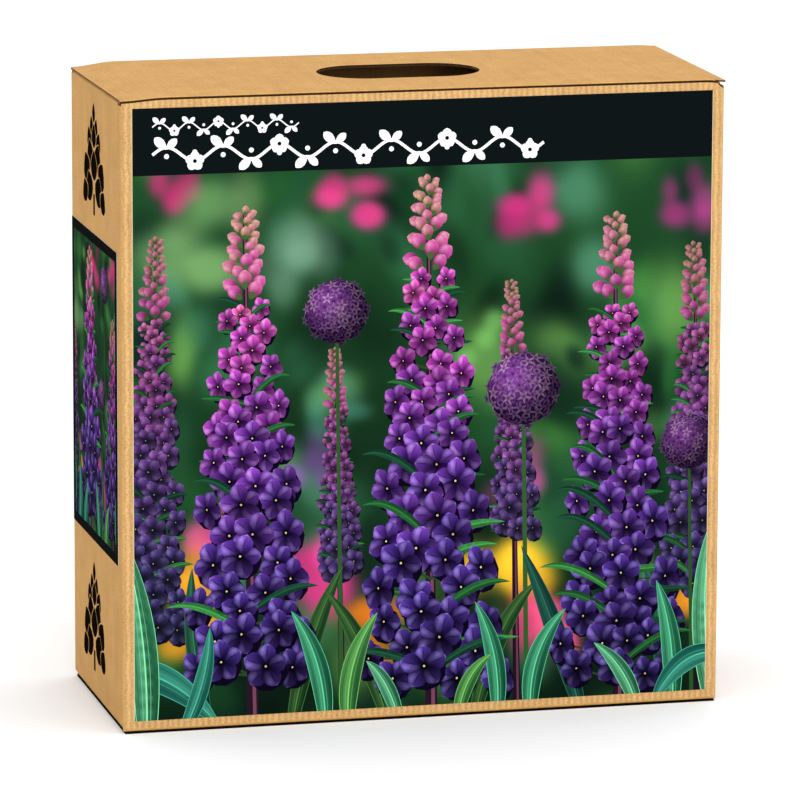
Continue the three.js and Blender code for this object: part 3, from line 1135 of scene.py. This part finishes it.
sidePicture = {
    "seeds": (23, 8),
    "frame": 6.0,  # black rule round the picture
    "frameInk": "060808",
    "closer": 0.8,  # its points stand this much closer together
    "spikes": (
        (0.03, -0.02, 0.05, 0.66, 34, 13, 0.75, 0.0),
        (0.88, -0.05, 0.90, 0.76, 56, 19, 0.9, 0.12),
        (0.42, -0.05, 0.40, 0.93, 74, 23, 1.0, 0.14),
    ),
    "globes": ((0.72, 0.86, 11, 0.9), (0.66, 0.5, 10, 0.85)),
    "patches": ((0.5, 0.9, 0.16, "d8327e", 0.7), (0.9, 0.92, 0.14, "dc4a8c", 0.7),
                (0.08, 0.2, 0.2, "f0a830", 0.85), (0.64, 0.22, 0.2, "ea4f98", 0.85),
                (0.97, 0.18, 0.2, "f0bc36", 0.85), (0.16, 0.72, 0.2, "7fa874", 0.6)),
    "leavesBehind": ((0.15, -0.03, 0.2, 0.18, 0.12, 0.3, 9), (0.66, -0.03, 0.7, 0.18, 0.62, 0.3, 9)),
    "leaves": ((-0.04, 0.0, 0.06, 0.12, 0.03, 0.28, 12), (0.12, -0.03, 0.2, 0.1, 0.15, 0.22, 10),
               (0.27, -0.03, 0.26, 0.08, 0.34, 0.17, 10), (0.58, -0.03, 0.6, 0.1, 0.52, 0.2, 10),
               (0.74, -0.03, 0.72, 0.08, 0.8, 0.16, 10), (1.03, -0.03, 0.96, 0.14, 0.98, 0.25, 12)),
}


garden = {
    "leafTones": (("0f4230", "5fb98e"), ("184f35", "7cc79a"), ("124a44", "4fa58c"), ("1d4f2a", "77b566")),
    "haze": "3d6a4a",
    "near": 0.9,  # spikes dimmed more than this stand behind, in the haze
    "leafDim": 0.62,  # of the leaves behind
}


# Back to front: backdrop, hazy spikes, globes and dim leaves, near spikes, leaves at their feet
def drawGarden(picture, width, height):
    plants, backdropSeed = picture["seeds"]
    rng = random.Random(plants)

    def addLeaves(leaves, dim):
        for ax, ay, bx, by, cx, cy, wide in leaves:
            dark, light = rng.choice(garden["leafTones"])
            addStrap(shapes, (ax * width, ay * height), (bx * width, by * height),
                     (cx * width, cy * height), wide, tone(dark) * dim, tone(light) * dim)

    shapes = []
    addFlat(shapes, block(0, 0, width, height), tone(printing["paper"]))
    addShape(shapes, block(0, 0, width, height),
             gardenBackdrop(backdropSeed, width, height, picture["patches"]))
    hazy = True
    for footX, footY, topX, topY, wide, size, dim, bare in picture["spikes"]:
        if hazy and dim >= garden["near"]:
            hazy = False
            for across, up, radius, shade in picture["globes"]:
                addGlobe(shapes, rng, (across * width, up * height), radius,
                         ((across + 0.01) * width, 0), shade)
            addLeaves(picture["leavesBehind"], garden["leafDim"])
        addSpike(shapes, rng, (footX * width, footY * height), (topX * width, topY * height), wide, size,
                 dim, tone(garden["haze"]) if hazy else None, bare)
    addLeaves(picture["leaves"], 1.0)
    return shapes


def printFront():
    low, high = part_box("front_print")
    width, height = (high.x - low.x) / mm, (high.z - low.z) / mm
    shapes = drawGarden(frontPicture, width, height)
    band = frontPicture["band"]
    edge = frontPicture["paperEdge"]
    addFlat(shapes, block(0, band, width, height), tone(frontPicture["bandInk"]))
    for start, end, level, reach, stem, pitch in frontPicture["vines"]:
        addVine(shapes, start, end, band + level, reach, stem, pitch)
    for strip in ((0, 0, edge, height), (width - edge, 0, width, height)):
        addFlat(shapes, block(*strip), tone(printing["paper"]))
    sheet = inkSheet(shapes, width, height, printing["spacing"])
    print("   front picture:", len(shapes), "shapes")
    placeSheet("front_sheet", "front_print", sheet, high.y - low.y,
               ((low.x, low.y, low.z), (1, 0, 0), (0, 0, 1), (0, -1, 0)))


def printSides():
    low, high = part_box("left_print")
    width, height = (high.y - low.y) / mm, (high.z - low.z) / mm
    shapes = drawGarden(sidePicture, width, height)
    rule = sidePicture["frame"]
    for strip in ((0, 0, width, rule), (0, height - rule, width, height), (0, 0, rule, height),
                  (width - rule, 0, width, height)):
        addFlat(shapes, block(*strip), tone(sidePicture["frameInk"]))
    sheet = inkSheet(shapes, width, height, printing["spacing"] * sidePicture["closer"])
    print("   side picture:", len(shapes), "shapes")
    placeSheet("left_sheet", "left_print", sheet, high.x - low.x,
               ((low.x, high.y, low.z), (0, -1, 0), (0, 0, 1), (-1, 0, 0)))
    low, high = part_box("right_print")
    placeSheet("right_sheet", "right_print", sheet, high.x - low.x,
               ((high.x, low.y, low.z), (0, 1, 0), (0, 0, 1), (1, 0, 0)))


sprig = {
    "ink": 0.05 * mm,  # thickness of the ink film
    "gap": (1.3, 0.65),  # bare board kept beside and above a leaf
    # rows of leaves from the top down: height, how many, how far out, leaf length and width
    "rows": ((53, 1, 0, 11, 8), (46.5, 2, 5.2, 12, 10), (38.5, 3, 10.5, 13.5, 12.5), (29, 2, 8.5, 16, 17),
             (20, 3, 17, 17, 18), (9.5, 2, 10, 17.5, 20), (7.5, 2, 22, 13.5, 15)),
    "along": np.array([0, 0.1, 0.28, 0.5, 0.74, 0.9, 1.0]),
    "half": np.array([0.08, 0.3, 0.46, 0.5, 0.34, 0.16, 0.0]),
    "stem": (2.2, 12),  # half its width and its length
    "places": ((5, 282), (11, 16)),  # middle in y and foot in z of each sprig
}


# A leafy sprig, its leaves lying over each other like scales with bare board between
def sprigShapes():
    leaf = leafOutline(sprig["half"], sprig["along"]) - (0, 0.5)
    thick, long = sprig["stem"]
    black = tone("000000")
    shapes, printed = [], [True]
    addFlat(shapes, block(-thick, 0, thick, long), black)
    for height, count, reach, length, width in sprig["rows"]:
        for place in sorted(np.linspace(-1, 1, count) if count > 1 else (0.0,), key=abs, reverse=True):
            lean = -0.5 * place * min(1.0, reach / 14)
            foot = np.array((place * reach, height - 2.5 * place ** 2))
            middle = foot + turned(lean) @ np.array((0, length / 2))
            for beside, above in (sprig["gap"], (0.0, 0.0)):
                matrix = turned(lean, width + 2 * beside, length + 2 * above)
                addFlat(shapes, leaf, black, matrix, middle)
                printed.append(beside == 0)
    return shapes, printed


def printSprigs(side, name):
    shapes, printed = sprigShapes()
    cut = cutApart(shapes)
    bm = bmesh.new()
    for middle, foot in sprig["places"]:
        verts = [bm.verts.new((side * sideFace, (middle + u) * mm, (foot + v) * mm)) for u, v in cut[0]]
        for corners, owner in zip(cut[2], cut[5]):
            if owner and printed[max(owner)]:  # a leaf lies on top here, not the gap round one
                bm.faces.new([verts[i] for i in corners])
    dropLoose(bm)
    bmesh.ops.dissolve_limit(bm, angle_limit=0.01, verts=bm.verts[:], edges=bm.edges[:])
    raised = bmesh.ops.extrude_face_region(bm, geom=bm.faces[:])["geom"]
    shiftBy(bm, (side * sprig["ink"], 0, 0), raised)
    printPiece(name, bm, blackInk)


print("Printing the front")
printFront()
print("Printing the sides")
printSides()
printSprigs(-1, "left_sprigs")
printSprigs(1, "right_sprigs")


# Studio: a pale floor, a black pad of painted shadow under the carton, an even white surround and two soft
# boxes
studio = {
    "floor": "e6e6e6",
    "floorSize": 12,
    "shadowPadHeight": 1.25 * mm,  # a black pad under the carton, a little smaller than its base: painted shadow, the dark contact line along its foot
    "shadowPadSize": (345 * mm, 142 * mm, 1.2 * mm),
    "shadowPadPlace": (0, -0.3 * mm),
    "surround": 1.285,
    # soft boxes: name, place, size and watts
    "boxes": (("soft_box_top", (0.3, -0.3, 2.3), 1.5, 8.5), ("soft_box_front", (-0.15, -4.0, 1.3), 2.0, 95)),
    "boxTarget": (0, 0, 0.2),
    "camera": (-0.833, -3.3632, 0.856),
    "lens": 276.74,
    "sensor": 36,
    "angles": (-13.967, 11.216, 0.225),  # turn to the side, tilt down and roll
}


def stagePiece(name, bm, material, code, roughness, ior, specular):
    look, _, shader = newMaterial(material, roughness, ior, specular)
    shader.inputs["Base Color"].default_value = paint(code)
    meshPiece(name, bm, (look,))


def makeStudio():
    scene = bpy.context.scene
    bm = bmesh.new()
    bmesh.ops.create_grid(bm, x_segments=1, y_segments=1, size=studio["floorSize"])
    shiftBy(bm, (0, 0, -studio["shadowPadHeight"]))
    stagePiece("studio_floor", bm, "studio_floor", studio["floor"], 0.9, 1.45, 0.1)

    bm = bmesh.new()
    bmesh.ops.create_cube(bm, size=1)
    bmesh.ops.scale(bm, vec=studio["shadowPadSize"], verts=bm.verts[:])
    shiftBy(bm, (*studio["shadowPadPlace"], -studio["shadowPadHeight"] / 2))
    stagePiece("studio_shadow_pad", bm, "painted_shadow_black", "0a0806", 1.0, 1.5, 0.0)

    world = bpy.data.worlds.new("studio_surround")
    world.use_nodes = True
    white = world.node_tree.nodes["Background"]
    white.inputs["Color"].default_value = (1, 1, 1, 1)
    white.inputs["Strength"].default_value = studio["surround"]
    scene.world = world
    scene.view_settings.view_transform = "Standard"

    for box in studio["boxes"]:
        softBox(*box)

    data = bpy.data.cameras.new("camera")
    data.lens = studio["lens"]
    data.sensor_width = studio["sensor"]
    camera = bpy.data.objects.new("camera", data)
    scene.collection.objects.link(camera)
    yaw, pitch, turn = (math.radians(angle) for angle in studio["angles"])
    ahead = Vector((-math.sin(yaw) * math.cos(pitch), math.cos(yaw) * math.cos(pitch), -math.sin(pitch)))
    level = Vector((math.cos(yaw), math.sin(yaw), 0))
    upward = level.cross(ahead)
    right = level * math.cos(turn) + upward * math.sin(turn)
    up = upward * math.cos(turn) - level * math.sin(turn)
    pose = Matrix((right, up, -ahead)).transposed().to_4x4()
    camera.matrix_world = Matrix.Translation(studio["camera"]) @ pose
    scene.camera = camera


def softBox(name, place, size, power):
    data = bpy.data.lights.new(name, "AREA")
    data.shape = "SQUARE"
    data.size = size
    data.energy = power
    lamp = bpy.data.objects.new(name, data)
    bpy.context.scene.collection.objects.link(lamp)
    lamp.location = place
    way = Vector(studio["boxTarget"]) - Vector(place)
    lamp.rotation_euler = way.to_track_quat("-Z", "Y").to_euler()


print("Setting the studio")
makeStudio()
